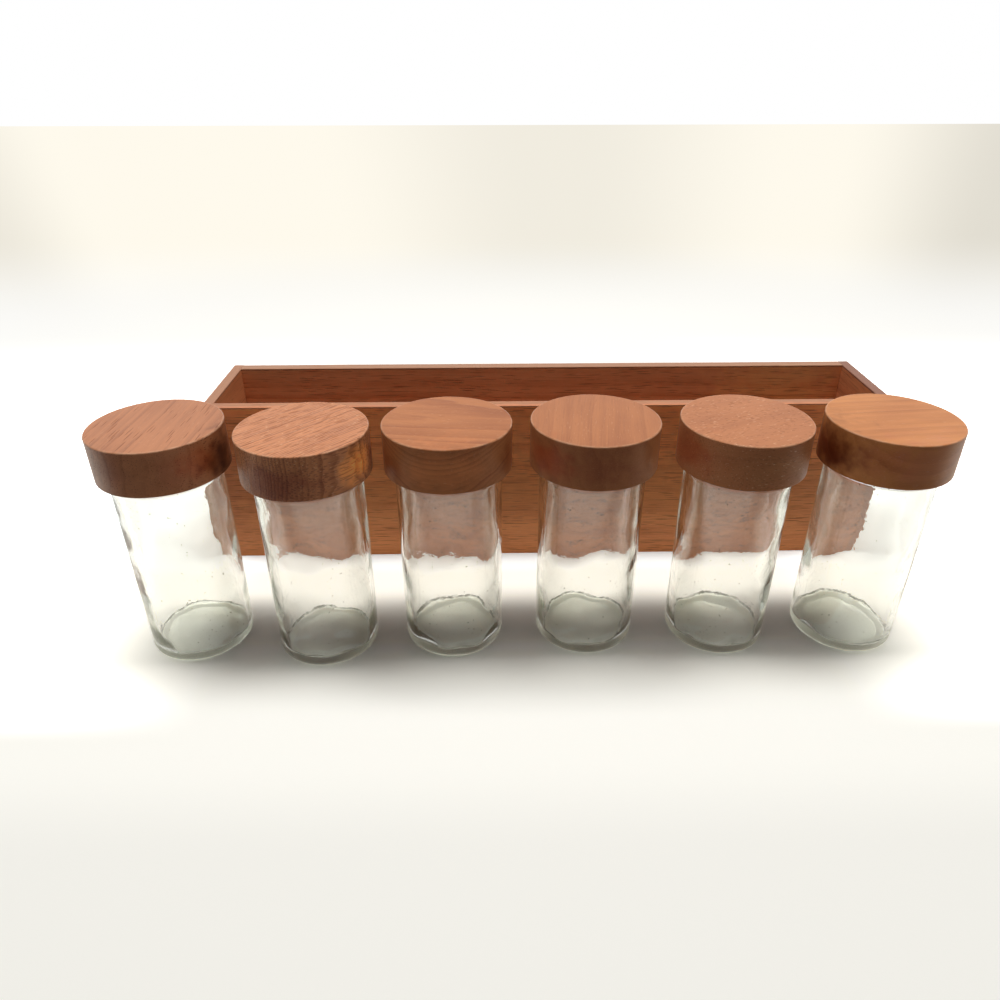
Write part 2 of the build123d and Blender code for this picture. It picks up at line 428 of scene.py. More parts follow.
# How pressed glass strays from its outline in mm, each wave as its size and its height
NOISE_SPAN = 2.6  # brings the noise to about one on either side
SEED_DRIFT = (370.0, 117.0, 0.0)  # how far apart the seeds lie in the noise
SEED_RISE = 59.0
OUTER_WAVES = [(24.0, 0.12), (9.0, 0.02)]
OUTER_DRAWN_IN = 0.05
INNER_WAVES = [(17.0, 0.42), (7.0, 0.07)]
FOOT_LUMPS = (11.0, 1.5)
FOOT_DRAWN_IN = 0.52
FLOOR_LUMPS = (13.0, 0.9)
LUMPS_UP = 5.0  # how soon the lumps fade up the wall
TRUE_SHOULDER = (4.0, 16.0)  # below the shoulder, from where it is true to where it waves freely
TRUE_FOOT = 6.0  # how far up the outside is truer
TRUE_AXIS = 12.0  # and how far out from the middle all of it is
# Where that dark line of dust and painted shade lies
DUST_AND_SHADE_WIDTH = 0.75  # in from the inner wall
DUST_AND_SHADE_HEIGHT = 0.175  # its middle, above the inner floor
DUST_AND_SHADE_REACH = 0.225  # above and below that
SEAM_REACH = 0.001  # points nearer than this close the seam and the poles


def glass_material(name):
    """Clear pressed glass with faint ripples, a trace of green in its depth, and a few specks; a
    dark line along the foot of the inner wall is dust and painted shade.
    """
    material, tree = new_material(name)
    place = object_place(tree)
    ripple = cloud(tree, place, GLASS_RIPPLE, detail=3.0, roughness=0.65)
    ripple = {"Height": ripple, "Strength": 1.0, "Distance": RIPPLE_DEPTH * MM}
    bump = new_node(tree, "Bump", ripple)
    height = split(tree, place)["Z"]
    stipple = fade(tree, height, *STIPPLE_HEIGHTS, STIPPLE_ROUGHNESS, CLEAR_ROUGHNESS)
    speck = fade(tree, cloud(tree, place, SPECK_SIZE, detail=0.0), *SPECK_EDGE)
    color = blend(tree, speck, GLASS_COLOR, SPECK_COLOR)
    # The dark line of dust and painted shade along the foot of the inner wall
    dust_and_edge_shade = new_node(tree, "Attribute", attribute_name="dust_and_edge_shade").outputs["Fac"]
    patchy = cloud(tree, place, DUST_AND_SHADE_SIZE, detail=3.0)
    dust_and_edge_shade = calc(tree, "MULTIPLY", dust_and_edge_shade, fade(tree, patchy, *DUST_AND_SHADE_EDGE, DUST_AND_SHADE_THIN, 1.0))
    color = blend(tree, dust_and_edge_shade, color, DUST_AND_SHADE_COLOR)
    inputs = {
        "Base Color": color,
        "Roughness": stipple,
        "IOR": 1.55,
        "Transmission Weight": 1.0,
        "Normal": bump.outputs[0],
    }
    surface = new_node(tree, "BsdfPrincipled", inputs)
    # The lamp shines straight through the glass. So does a ray that has run round inside it for
    # long, from its second mirroring or its seventh turn on.
    wall = fade(tree, height, *GLASS_BASE)
    dimmed = blend(tree, wall, LAMP_THROUGH_FOOT, LAMP_THROUGH_WALL)
    clear = new_node(tree, "BsdfTransparent", {"Color": dimmed})
    path = new_node(tree, "LightPath").outputs
    spent = calc(tree, "GREATER_THAN", path["Glossy Depth"], 1.5)
    spent = calc(tree, "MAXIMUM", spent, calc(tree, "GREATER_THAN", path["Ray Depth"], 6.5))
    through = calc(tree, "MAXIMUM", path["Is Shadow Ray"], spent)
    both = new_node(tree, "MixShader", {0: through, 1: surface.outputs[0], 2: clear.outputs[0]})
    depth = new_node(tree, "VolumeAbsorption", {"Color": DEPTH_COLOR, "Density": DEPTH_DENSITY})
    new_node(tree, "OutputMaterial", {"Surface": both.outputs[0], "Volume": depth.outputs[0]})
    return material


def arc(centre, radius, start, end, steps=6):
    """Points (radius, height) on an arc, angles in degrees from straight out."""
    angles = [math.radians(start + (end - start) * step / steps) for step in range(steps + 1)]
    return [(centre[0] + radius * math.cos(a), centre[1] + radius * math.sin(a)) for a in angles]


def run(start, end, step):
    """Points from start to end, both included, about step apart."""
    count = max(1, round(math.dist(start, end) / step))
    return [
        tuple(a + (b - a) * index / count for a, b in zip(start, end)) for index in range(count + 1)
    ]


def jar_outline(radius, mouth):
    """The jar's half outline as (radius, height, on the inside) in mm, from the middle of its
    underside round to the middle of its inner floor."""
    inner = radius - GLASS_WALL
    bore = NECK_RADIUS - NECK_WALL
    ceiling = SHOULDER_HEIGHT - GLASS_WALL
    shoulder = SHOULDER_HEIGHT - SHOULDER_ROUND
    inner_shoulder = ceiling - SHOULDER_ROUND
    lip = mouth - LIP_ROUND
    groove = inner - FLOOR_ROUND
    flat = groove - 3 * FLOOR_GROOVE
    outside = [(0, PUSH_UP), (STANDING_RING / 3, PUSH_UP * 0.9)]
    outside += [(STANDING_RING * 0.7, PUSH_UP / 2), (STANDING_RING, 0)]
    outside += arc((radius - HEEL_ROUND, HEEL_ROUND), HEEL_ROUND, -90, 0, 8)
    outside += run((radius, HEEL_ROUND), (radius, shoulder), GLASS_STEP)[1:]
    outside += arc((radius - SHOULDER_ROUND, shoulder), SHOULDER_ROUND, 0, 90)[1:]
    outside += run((NECK_RADIUS, SHOULDER_HEIGHT), (NECK_RADIUS, lip), 2 * GLASS_STEP)
    outside += arc((NECK_RADIUS - LIP_ROUND, lip), LIP_ROUND, 0, 90)[1:]
    inside = arc((bore + LIP_ROUND, lip), LIP_ROUND, 90, 180)
    inside += run((bore, lip), (bore, ceiling), 2 * GLASS_STEP)[1:]
    inside += arc((inner - SHOULDER_ROUND, inner_shoulder), SHOULDER_ROUND, 90, 0)
    inside += run((inner, inner_shoulder), (inner, GLASS_FLOOR + FLOOR_ROUND), GLASS_STEP)[1:]
    inside += arc((groove, GLASS_FLOOR + FLOOR_ROUND), FLOOR_ROUND, 0, -90, 8)[1:]
    inside += [(groove - FLOOR_GROOVE, GLASS_FLOOR - FLOOR_GROOVE), (flat, GLASS_FLOOR)]
    inside += run((flat, GLASS_FLOOR), (0, GLASS_FLOOR), 2 * GLASS_STEP)[1:]
    return [(*point, False) for point in outside] + [(*point, True) for point in inside]


def swell(tree, place, size, high):
    """Smooth noise between about -high and high, with features of the given size."""
    noise = calc(tree, "SUBTRACT", cloud(tree, place, size, detail=0.0), 0.5)
    return calc(tree, "MULTIPLY", noise, NOISE_SPAN * high)


def shape_node(tree, kind, inputs=None, **settings):
    """The first output of a node that works on shapes."""
    return new_node(tree, kind, inputs, family="Geometry", **settings).outputs[0]


def spin_outline(tree, outline, segments):
    """A sheet with a row for each point of the outline and a column for each segment and the
    seam. Gives the sheet, and for its points the way out, and the outline's radius, height and
    mark."""
    rings = shape_node(tree, "AttributeDomainSize", {0: outline})
    columns = calc(tree, "ADD", segments, 1.0)
    sheet = shape_node(tree, "MeshGrid", {"Vertices X": columns, "Vertices Y": rings})
    index = shape_node(tree, "InputIndex")
    ring = calc(tree, "MODULO", index, rings)
    column = calc(tree, "FLOOR", calc(tree, "DIVIDE", index, rings))
    point = {"Geometry": outline, "Value": shape_node(tree, "InputPosition"), "Index": ring}
    drawn = split(tree, shape_node(tree, "SampleIndex", point, data_type="FLOAT_VECTOR"))
    mark = shape_node(tree, "InputNamedAttribute", {"Name": "inside"})
    mark = {"Geometry": outline, "Value": mark, "Index": ring}
    inside = shape_node(tree, "SampleIndex", mark, data_type="FLOAT")
    turn = calc(tree, "DIVIDE", calc(tree, "MULTIPLY", column, math.tau), segments)
    out = join(tree, calc(tree, "COSINE", turn), calc(tree, "SINE", turn), 0.0)
    return sheet, out, drawn["X"], drawn["Z"], inside


def settle_glass(tree, taken, out, radius, height, inside):
    """Where the points of the spun outline come to rest, in mm."""
    around = scaled(tree, out, radius)
    here = vector_calc(tree, "ADD", around, join(tree, 0.0, 0.0, height))
    here = vector_calc(tree, "ADD", here, scaled(tree, SEED_DRIFT, taken["Seed"]))
    level = join(tree, 0.0, 0.0, calc(tree, "MULTIPLY", taken["Seed"], SEED_RISE))
    around = vector_calc(tree, "ADD", around, level)

    # The neck, the shoulder, the foot and the axis stay true
    below = calc(tree, "SUBTRACT", taken["Shoulder Height"], height)
    body = ramp(tree, below, *TRUE_SHOULDER)
    foot = ramp(tree, height, 0.0, TRUE_FOOT)
    outer = calc(tree, "ADD", *[swell(tree, here, *wave) for wave in OUTER_WAVES])
    outer = calc(tree, "MINIMUM", calc(tree, "SUBTRACT", outer, OUTER_DRAWN_IN), 0.0)
    outer = calc(tree, "MULTIPLY", outer, calc(tree, "MULTIPLY", body, foot))
    inner = calc(tree, "ADD", *[swell(tree, here, *wave) for wave in INNER_WAVES])
    inner = calc(tree, "MULTIPLY", inner, body)

    # The inner floor rises and falls, and the foot of the inner wall is lumpier
    above = calc(tree, "MAXIMUM", calc(tree, "SUBTRACT", height, taken["Floor"]), 0.0)
    low = calc(tree, "EXPONENT", calc(tree, "DIVIDE", above, -LUMPS_UP))
    lump = calc(tree, "SUBTRACT", swell(tree, around, *FOOT_LUMPS), FOOT_DRAWN_IN)
    inner = calc(tree, "ADD", inner, calc(tree, "MULTIPLY", lump, low))
    stray = {0: inside, 2: outer, 3: inner}
    stray = new_node(tree, "Mix", stray, data_type="FLOAT").outputs[0]
    stray = calc(tree, "MULTIPLY", stray, ramp(tree, radius, 0.0, TRUE_AXIS))
    rise = calc(tree, "MULTIPLY", swell(tree, around, *FLOOR_LUMPS), low)
    rise = calc(tree, "MULTIPLY", rise, inside)
    settled = scaled(tree, out, calc(tree, "ADD", radius, stray))
    lift = join(tree, 0.0, 0.0, calc(tree, "ADD", height, rise))
    return vector_calc(tree, "ADD", settled, lift)


def find_dust_and_edge_shade(tree, taken, radius, height, inside):
    """One, for dust and painted shade, along the foot of the inner wall, and nothing elsewhere."""
    corner = calc(tree, "SUBTRACT", taken["Radius"], taken["Wall"])
    corner = calc(tree, "SUBTRACT", corner, DUST_AND_SHADE_WIDTH)
    middle = calc(tree, "ADD", taken["Floor"], DUST_AND_SHADE_HEIGHT)
    low = calc(tree, "COMPARE", height, middle, DUST_AND_SHADE_REACH)
    dust_and_edge_shade = calc(tree, "MULTIPLY", calc(tree, "GREATER_THAN", radius, corner), low)
    return calc(tree, "MULTIPLY", dust_and_edge_shade, inside)


def make_jar_group():
    """Geometry nodes that spin a half outline about its axis and let the pressed glass settle.

    The outline is a line of points (radius, 0, height) in mm, each marked as inside the jar or
    not. The jar comes out in metres, standing on its centre, with the foot of its inner wall
    marked for its dust and painted shade."""
    tree, taken, given = new_group(
        "Pressed jar",
        [
            ("Outline", "NodeSocketGeometry", None),
            ("Centre", "NodeSocketVector", (0, 0, 0)),
            ("Segments", "NodeSocketInt", GLASS_SEGMENTS),
            ("Radius", "NodeSocketFloat", 22.0),
            ("Shoulder Height", "NodeSocketFloat", SHOULDER_HEIGHT),
            ("Wall", "NodeSocketFloat", GLASS_WALL),
            ("Floor", "NodeSocketFloat", GLASS_FLOOR),
            ("Seed", "NodeSocketFloat", 1.0),
            ("Glass", "NodeSocketMaterial", None),
        ],
        [("Jar", "NodeSocketGeometry")],
        family="Geometry",
    )
    sheet, out, *outline = spin_outline(tree, taken["Outline"], taken["Segments"])
    settled = settle_glass(tree, taken, out, *outline)
    # Marks the foot of the inner wall for its dust and painted shade
    dust_and_edge_shade = find_dust_and_edge_shade(tree, taken, *outline)
    marks = {"Geometry": sheet, "Name": "dust_and_edge_shade", "Value": dust_and_edge_shade}
    jar = shape_node(tree, "StoreNamedAttribute", marks)
    jar = shape_node(tree, "SetPosition", {"Geometry": jar, "Position": settled})
    jar = shape_node(tree, "MergeByDistance", {"Geometry": jar, "Distance": SEAM_REACH})
    stood = {"Geometry": jar, "Translation": taken["Centre"], "Scale": (MM, MM, MM)}
    jar = shape_node(tree, "Transform", stood)
    jar = shape_node(tree, "SetShadeSmooth", {"Geometry": jar})
    jar = shape_node(tree, "RealizeInstances", {"Geometry": jar})
    jar = shape_node(tree, "SetMaterial", {"Geometry": jar, "Material": taken["Glass"]})
    tree.links.new(jar, given["Jar"])
    return tree


def make_jar(number, group, material):
    """One closed shell of pressed glass in place of a jar."""
    node = f"jar_{number}"
    low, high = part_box(node)
    radius = (high[0] - low[0]) / 2 / MM
    outline = jar_outline(radius, (high[2] - low[2]) / MM)
    drawn = bpy.data.meshes.new("outline")
    drawn.from_pydata([(r, 0, z) for r, z, inside in outline], [], [])
    marks = drawn.attributes.new("inside", "FLOAT", "POINT")
    for mark, (r, z, inside) in zip(marks.data, outline):
        mark.value = float(inside)
    pattern = new_object("outline", drawn)
    spin = pattern.modifiers.new("spin", "NODES")
    spin.node_group = group
    values = {
        "Centre": ((low[0] + high[0]) / 2, (low[1] + high[1]) / 2, low[2]),
        "Radius": radius,
        "Seed": GLASS_SEEDS[number - 1],
        "Glass": material,
    }
    for label, value in values.items():
        spin[group.interface.items_tree[label].identifier] = value
    evaluated = pattern.evaluated_get(bpy.context.evaluated_depsgraph_get())
    data = bpy.data.meshes.new_from_object(evaluated)
    bpy.data.objects.remove(pattern)
    bpy.data.meshes.remove(drawn)
    data.name = f"{node}_glass"
    data.materials.pop(index=0)  # the outline's own empty slot
    piece = new_object(f"{node}_glass", data)
    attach(piece, node)
    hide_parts(node)


# Stoppers and brads


PLASTIC_DULL = (0.80, 0.78, 0.72, 1)
PLASTIC_PALE = (0.88, 0.87, 0.83, 1)
PLASTIC_ROUGHNESS = (0.38, 0.55)
BLOTCH_SIZE = 0.006
SKIN_SIZE = 0.0006
STEEL_COLOR = (0.50, 0.47, 0.43, 1)
TARNISH_COLOR = (0.16, 0.11, 0.08, 1)
STEEL_ROUGHNESS = (0.32, 0.62)
TARNISH_SIZE = 0.0009
TARNISH_EDGE = (0.35, 0.7)
SCUFF_SIZE = (0.0003, 0.0003, 0.0015)
SKIN_DEPTH = 0.02  # relief of both in mm


def plastic_material(name):
    """Milky polyethylene, a little blotchy, with a moulded skin."""
    material, tree = new_material(name)
    place = object_place(tree)
    blotch = cloud(tree, place, BLOTCH_SIZE, detail=3.0)
    color = blend(tree, blotch, PLASTIC_DULL, PLASTIC_PALE)
    rough = fade(tree, blotch, 0.2, 0.8, *PLASTIC_ROUGHNESS)
    skin = {"Height": cloud(tree, place, SKIN_SIZE), "Strength": 0.3, "Distance": SKIN_DEPTH * MM}
    bump = new_node(tree, "Bump", skin)
    inputs = {"Base Color": color, "Roughness": rough, "Normal": bump.outputs[0]}
    inputs |= {"Subsurface Weight": 0.25, "Subsurface Scale": 0.002}
    surface = new_node(tree, "BsdfPrincipled", inputs)
    new_node(tree, "OutputMaterial", {"Surface": surface.outputs[0]})
    return material


def steel_material(name):
    """Dulled steel brad heads, darkened in patches."""
    material, tree = new_material(name)
    place = object_place(tree)
    tarnish = fade(tree, cloud(tree, place, TARNISH_SIZE, detail=3.0), *TARNISH_EDGE)
    color = blend(tree, tarnish, STEEL_COLOR, TARNISH_COLOR)
    rough = fade(tree, tarnish, 0.0, 1.0, *STEEL_ROUGHNESS)
    scuff = {"Height": cloud(tree, place, SCUFF_SIZE), "Strength": 0.4, "Distance": SKIN_DEPTH * MM}
    bump = new_node(tree, "Bump", scuff)
    inputs = {"Base Color": color, "Roughness": rough, "Normal": bump.outputs[0], "Metallic": 1.0}
    surface = new_node(tree, "BsdfPrincipled", inputs)
    new_node(tree, "OutputMaterial", {"Surface": surface.outputs[0]})
    return material


# Floor, room, lamp and camera


# Camera, held by hand above the row and tipped down at it
CAMERA_PLACE = (-0.02951, -0.37485, 0.23101)
CAMERA_PITCH = math.radians(29.83)  # down from level
CAMERA_YAW = math.radians(0.83)  # towards +X
CAMERA_ROLL = math.radians(-0.09)
CAMERA_LENS = 27.515
SENSOR_WIDTH = 36.0

# Light: one long window of a lamp overhead, a little behind the row, in a pale room
LAMP_PLACE = (-0.015, 0.025, 1.8)
LAMP_SIZE = (2.0, 0.43)
LAMP_POWER = 36.0
LAMP_COLOR = (1.0, 0.985, 0.95)
# What the room gives to matt surfaces, as a share of white: little of it from overhead
ROOM_LOW = 0.15
ROOM_HIGH = 0.03
ROOM_RISE = (0.0, 0.6)  # upward share of a direction at which the one gives way to the other
# The paper as it looks, over-lit where nothing shades it. Each pair of places, along Y or away
# from the middle of the row along X, is where one look gives way to the next.
PAPER = (1.08, 1.07, 0.995, 1)
ROW_MIDDLE = -0.0143
# Painted shade: duller towards the camera's feet
PAPER_FRONT = (1.02, 1.02, 0.985, 1)
PAPER_FRONT_REACH = (-0.15, -0.112)
PAPER_NEAR = (0.935, 0.935, 0.905, 1)
PAPER_NEAR_REACH = (-0.212, -0.17)
# At the tray's foot it keeps its white: painted light against the tray's shade and the reddish light
# its wood throws back. It is whiter behind it.
PAPER_FOOT = (1.22, 1.33, 1.38, 1)
FOOT_REACH = (-0.048, -0.035)
PAPER_BEHIND = (1.14, 1.14, 1.12, 1)
PAPER_BEHIND_REACH = (0.02, 0.08)
WHITER_THROUGH = 0.4  # share of both that glass and gloss show
# Past the ends of the row it is paler, from before the row to behind the tray: painted light that
# thins the row's shadow there
PAPER_ENDS = 2.0  # how much paler straight on
PAPER_ENDS_THROUGH = (1.12, 1.65)  # and through glass or in gloss, behind the row and under it
UNDER_ROW = (-0.06, -0.085)
ENDS_ASIDE = (0.13, 0.20)
ENDS_REACH = (-0.16, -0.135)
ENDS_BEHIND = (0.36, 0.12)
# A band of softer shade just in front of the row, deepest before its middle
BAND_NEAR = (-0.152, -0.131)
BAND_FAR = (-0.104, -0.124)
BAND_MIDDLE = (0.10, 0.04)
BAND_SHADE = 0.07
BAND_MIDDLE_SHADE = 0.15
# Between the jars the eye finds the shade deeper than the glass does
GAP_NEAR = (-0.108, -0.088)
GAP_FAR = (-0.063, -0.079)
GAP_ENDS = (0.165, 0.14)
GAP_SHADE = 0.3
# What gloss finds of the paper in the dim front of the room
PAPER_SHADE = (0.30, 0.29, 0.27, 1)
PAPER_SHADE_REACH = (-0.215, -0.145)
# What the paper gives to matt surfaces: little from the front, which the camera shades
BOUNCE = (0.95, 0.93, 0.88, 1)
BOUNCE_FRONT = (0.36, 0.345, 0.325, 1)
BOUNCE_REACH = (-0.14, -0.105)
# Away from the lamp the paper is simply pale, and warmer far behind
PAPER_LIT = 0.35  # how far out the lamp's own light and shadows show
PAPER_GLOW = 0.8  # from where they don't
PAPER_SIDES = (1.0, 1.0, 0.99, 1)
PAPER_FAR = (1.0, 0.955, 0.845, 1)
PAPER_FAR_REACH = (0.25, 0.85)
PAPER_FAR_ENDS = (3.1, 2.3)
# Soft shades that fan out across the far paper from a place before the row, each with its way
# (metres aside for each metre on), the spread over which it comes in, and its strength
FAN_FROM = -0.3
FAN_NEAREST = 0.1  # a way is told no nearer to that place than this
FAN_SHADES = [
    (0.07, (0.30, 0.03), 0.12),
    (0.78, (0.36, 0.13), 0.24),
    (-0.78, (0.25, 0.08), 0.16),
]
FLOOR_REACH = 3.2  # from the origin to the paper's edges


def near_paper(tree, aside, back, path):
    """The paper's colour near the row, as it looks straight on, through glass and in gloss."""
    seen = blend(tree, fade(tree, back, *PAPER_NEAR_REACH), PAPER_NEAR, PAPER_FRONT)
    seen = blend(tree, fade(tree, back, *PAPER_FRONT_REACH), seen, PAPER)
    clear = calc(tree, "MAXIMUM", path["Is Camera Ray"], WHITER_THROUGH)
    foot = calc(tree, "MULTIPLY", fade(tree, back, *FOOT_REACH), clear)
    seen = blend(tree, foot, seen, PAPER_FOOT)
    behind = calc(tree, "MULTIPLY", fade(tree, back, *PAPER_BEHIND_REACH), clear)
    seen = blend(tree, behind, seen, PAPER_BEHIND)

    # Painted light: paler past the ends of the row, where it thins the row's shadow
    through = fade(tree, back, *UNDER_ROW, *PAPER_ENDS_THROUGH)
    ends = calc(tree, "MULTIPLY", calc(tree, "SUBTRACT", PAPER_ENDS, through), path["Is Camera Ray"])
    ends = calc(tree, "SUBTRACT", calc(tree, "ADD", ends, through), 1.0)
    ends = calc(tree, "MULTIPLY", ends, fade(tree, back, *ENDS_REACH))
    ends = calc(tree, "MULTIPLY", ends, fade(tree, back, *ENDS_BEHIND))
    ends = calc(tree, "MULTIPLY", ends, fade(tree, aside, *ENDS_ASIDE))
    seen = vector_calc(tree, "MULTIPLY", seen, calc(tree, "ADD", ends, 1.0))

    # The band of shade before the row, and the shade between the jars
    band = calc(tree, "MULTIPLY", fade(tree, back, *BAND_NEAR), fade(tree, back, *BAND_FAR))
    deep = fade(tree, aside, *BAND_MIDDLE, BAND_SHADE, BAND_SHADE + BAND_MIDDLE_SHADE)
    band = calc(tree, "SUBTRACT", 1.0, calc(tree, "MULTIPLY", band, deep))
    seen = vector_calc(tree, "MULTIPLY", seen, band)
    gap = calc(tree, "MULTIPLY", fade(tree, back, *GAP_NEAR), fade(tree, back, *GAP_FAR))
    gap = calc(tree, "MULTIPLY", gap, fade(tree, aside, *GAP_ENDS, 0.0, GAP_SHADE))
    gap = calc(tree, "SUBTRACT", 1.0, calc(tree, "MULTIPLY", gap, path["Is Camera Ray"]))
    return vector_calc(tree, "MULTIPLY", seen, gap)


def far_paper(tree, across, aside, back):
    """The paper's colour away from the row, where it is simply pale."""
    far = fade(tree, aside, *PAPER_FAR_ENDS)
    far = calc(tree, "MULTIPLY", far, fade(tree, back, *PAPER_FAR_REACH))
    glow = blend(tree, far, PAPER_SIDES, PAPER_FAR)
    bearing = calc(tree, "MAXIMUM", calc(tree, "SUBTRACT", back, FAN_FROM), FAN_NEAREST)
    bearing = calc(tree, "DIVIDE", across, bearing)
    light = 1.0
    for way, spread, strength in FAN_SHADES:
        off = calc(tree, "ABSOLUTE", calc(tree, "SUBTRACT", bearing, way))
        shade = fade(tree, off, *spread, 0.0, strength)
        light = calc(tree, "SUBTRACT", light, calc(tree, "MULTIPLY", shade, far))
    return vector_calc(tree, "MULTIPLY", glow, light)


def paper_material(name):
    """Pale paper that takes the shadows near the row, with painted shade and light laid over them
    there, and is simply pale away from the lamp.
    """
    material, tree = new_material(name)
    place = object_place(tree)
    across = split(tree, place)["X"]
    back = split(tree, place)["Y"]
    aside = calc(tree, "ABSOLUTE", calc(tree, "SUBTRACT", across, ROW_MIDDLE))
    path = new_node(tree, "LightPath").outputs
    # The room in front is dim, so gloss finds less light there than the eye does
    mirrored = calc(tree, "SUBTRACT", path["Is Glossy Ray"], path["Is Singular Ray"])
    outside = calc(tree, "LESS_THAN", path["Transmission Depth"], 0.5)
    mirrored = calc(tree, "MAXIMUM", calc(tree, "MULTIPLY", mirrored, outside), 0.0)
    dimmed = fade(tree, back, *PAPER_SHADE_REACH, 1.0, 0.0)
    mirrored = calc(tree, "MULTIPLY", mirrored, dimmed)
    seen = blend(tree, mirrored, near_paper(tree, aside, back, path), PAPER_SHADE)
    bounced = calc(tree, "GREATER_THAN", path["Diffuse Depth"], 0.5)
    given = blend(tree, fade(tree, back, *BOUNCE_REACH), BOUNCE_FRONT, BOUNCE)
    paper = new_node(tree, "BsdfDiffuse", {"Color": blend(tree, bounced, seen, given)})
    hidden = calc(tree, "MAXIMUM", bounced, mirrored)
    glow = blend(tree, hidden, far_paper(tree, across, aside, back), (0, 0, 0, 1))
    backdrop = new_node(tree, "Emission", {"Color": glow, "Strength": 1.0})
    away = fade(tree, length(tree, place), PAPER_LIT, PAPER_GLOW)
    both = new_node(tree, "MixShader", {0: away, 1: paper.outputs[0], 2: backdrop.outputs[0]})
    new_node(tree, "OutputMaterial", {"Surface": both.outputs[0]})
    return material


def make_floor():
    mesh = bmesh.new()
    bmesh.ops.create_grid(mesh, x_segments=1, y_segments=1, size=FLOOR_REACH)
    data = bpy.data.meshes.new("floor")
    mesh.to_mesh(data)
    mesh.free()
    data.materials.append(paper_material("pale_paper"))
    new_object("floor", data)


def light_room():
    """A world that looks white, straight on, in gloss and through glass, and fills softly."""
    world = bpy.data.worlds.new("room")
    bpy.context.scene.world = world
    world.use_nodes = True
    tree = world.node_tree
    tree.nodes.clear()
    path = new_node(tree, "LightPath").outputs
    looked_at = calc(tree, "MAXIMUM", path["Is Glossy Ray"], path["Is Transmission Ray"])
    looked_at = calc(tree, "MAXIMUM", looked_at, path["Is Camera Ray"])
    direct = calc(tree, "LESS_THAN", path["Diffuse Depth"], 0.5)
    towards = split(tree, new_node(tree, "TexCoord").outputs["Generated"])
    fill = fade(tree, towards["Z"], *ROOM_RISE, ROOM_LOW, ROOM_HIGH)
    seen = calc(tree, "MULTIPLY", looked_at, direct)
    strength = calc(tree, "MAXIMUM", seen, fill)
    background = new_node(tree, "Background", {"Color": (1, 1, 1, 1), "Strength": strength})
    new_node(tree, "OutputWorld", {"Surface": background.outputs[0]})


def hang_lamp():
    lamp = bpy.data.lights.new("lamp", "AREA")
    lamp.shape = "RECTANGLE"
    lamp.size, lamp.size_y = LAMP_SIZE
    lamp.energy = LAMP_POWER
    lamp.color = LAMP_COLOR
    hung = new_object("lamp", lamp)
    hung.location = LAMP_PLACE
    hung.visible_camera = False


def set_camera():
    camera = bpy.data.cameras.new("camera")
    camera.sensor_width = SENSOR_WIDTH
    camera.lens = CAMERA_LENS
    held = new_object("camera", camera)
    turned = Matrix.Rotation(-CAMERA_YAW, 4, "Z")
    tipped = Matrix.Rotation(math.pi / 2 - CAMERA_PITCH, 4, "X")
    rolled = Matrix.Rotation(CAMERA_ROLL, 4, "Z")
    held.matrix_world = Matrix.Translation(CAMERA_PLACE) @ turned @ tipped @ rolled
    bpy.context.scene.camera = held
    bpy.context.scene.view_settings.view_transform = "Standard"


# Each piece's own cut of teak: which way its grain runs, where the pith lay, and its look
BOARDS = {
    "front_board": {
        "along": 0.5,
        "pith": (190, -90),
        "oil_lost": 0.68,
        "spots": [
            ((-0.168, -0.03, 0.05), (0.03, 0.03, 0.07), (0.78, 0.72, 0.80), 0.9),
            # Painted light: the upper half of the front face paler towards its top, and a strip just
            # under the top paler still, against the shade there
            ((0.0, -0.03, 0.090), (5.0, 0.0035, 0.05), (1.40, 1.22, 1.18), 1.0),
            ((0.0, -0.03, 0.088), (5.0, 0.0035, 0.008), (1.35, 1.33, 1.30), 1.0),
        ],
        "Pale": (0.775, 0.30, 0.109, 1),
        "Deep": (0.43, 0.127, 0.042, 1),
        "Ring Width": 5.2,
        "Ring Strength": 0.5,
        "Fibre Strength": 0.9,
        "Streak Strength": 0.4,
        "Pore Strength": 0.6,
        "Pore Share": 0.55,
        "Pore Length": 16.0,
        "Pore Gap": 0.75,
    },
    "back_board": {
        "along": -0.5,
        "pith": (80, 150),
        "oil_lost": 0.85,
        "spots": [
            ((0.0, 0.031, 0.043), (5.0, 0.0045, 5.0), (0.76, 0.60, 0.48), 1.0),
            ((0.13, 0.024, 0.07), (0.05, 0.004, 0.04), (1.2, 1.4, 1.2), 0.9),
        ],
        # Paler than the other boards: painted light for the little light that reaches into the tray
        "Pale": (0.90, 0.51, 0.27, 1),
        "Deep": (0.66, 0.31, 0.145, 1),
        "Ring Width": 6.0,
        "Ring Strength": 0.7,
        "Streak Strength": 0.5,
        "Pore Share": 0.5,
        "Pore Length": 16.0,
        "Pore Gap": 0.8,
        "Fleck Strength": 0.4,
    },
    "bottom_board": {
        "along": 0,
        "pith": (20, -90),
        "Pale": (0.74, 0.36, 0.18, 1),
        "Deep": (0.45, 0.18, 0.08, 1),
    },
    "left_end": {
        "along": 90,
        "pith": (70, 40),
        "oil_lost": 0.75,
        "Pale": (0.70, 0.30, 0.135, 1),
        "Deep": (0.40, 0.14, 0.055, 1),
        "Ring Strength": 0.5,
    },
    "right_end": {
        "along": 90,
        "pith": (-60, 70),
        "oil_lost": 0.95,
        "worn": (0.25, 0.105, 0.065),
        "Pale": (0.66, 0.28, 0.13, 1),
        "Deep": (0.36, 0.12, 0.05, 1),
        "Ring Strength": 0.5,
    },
}
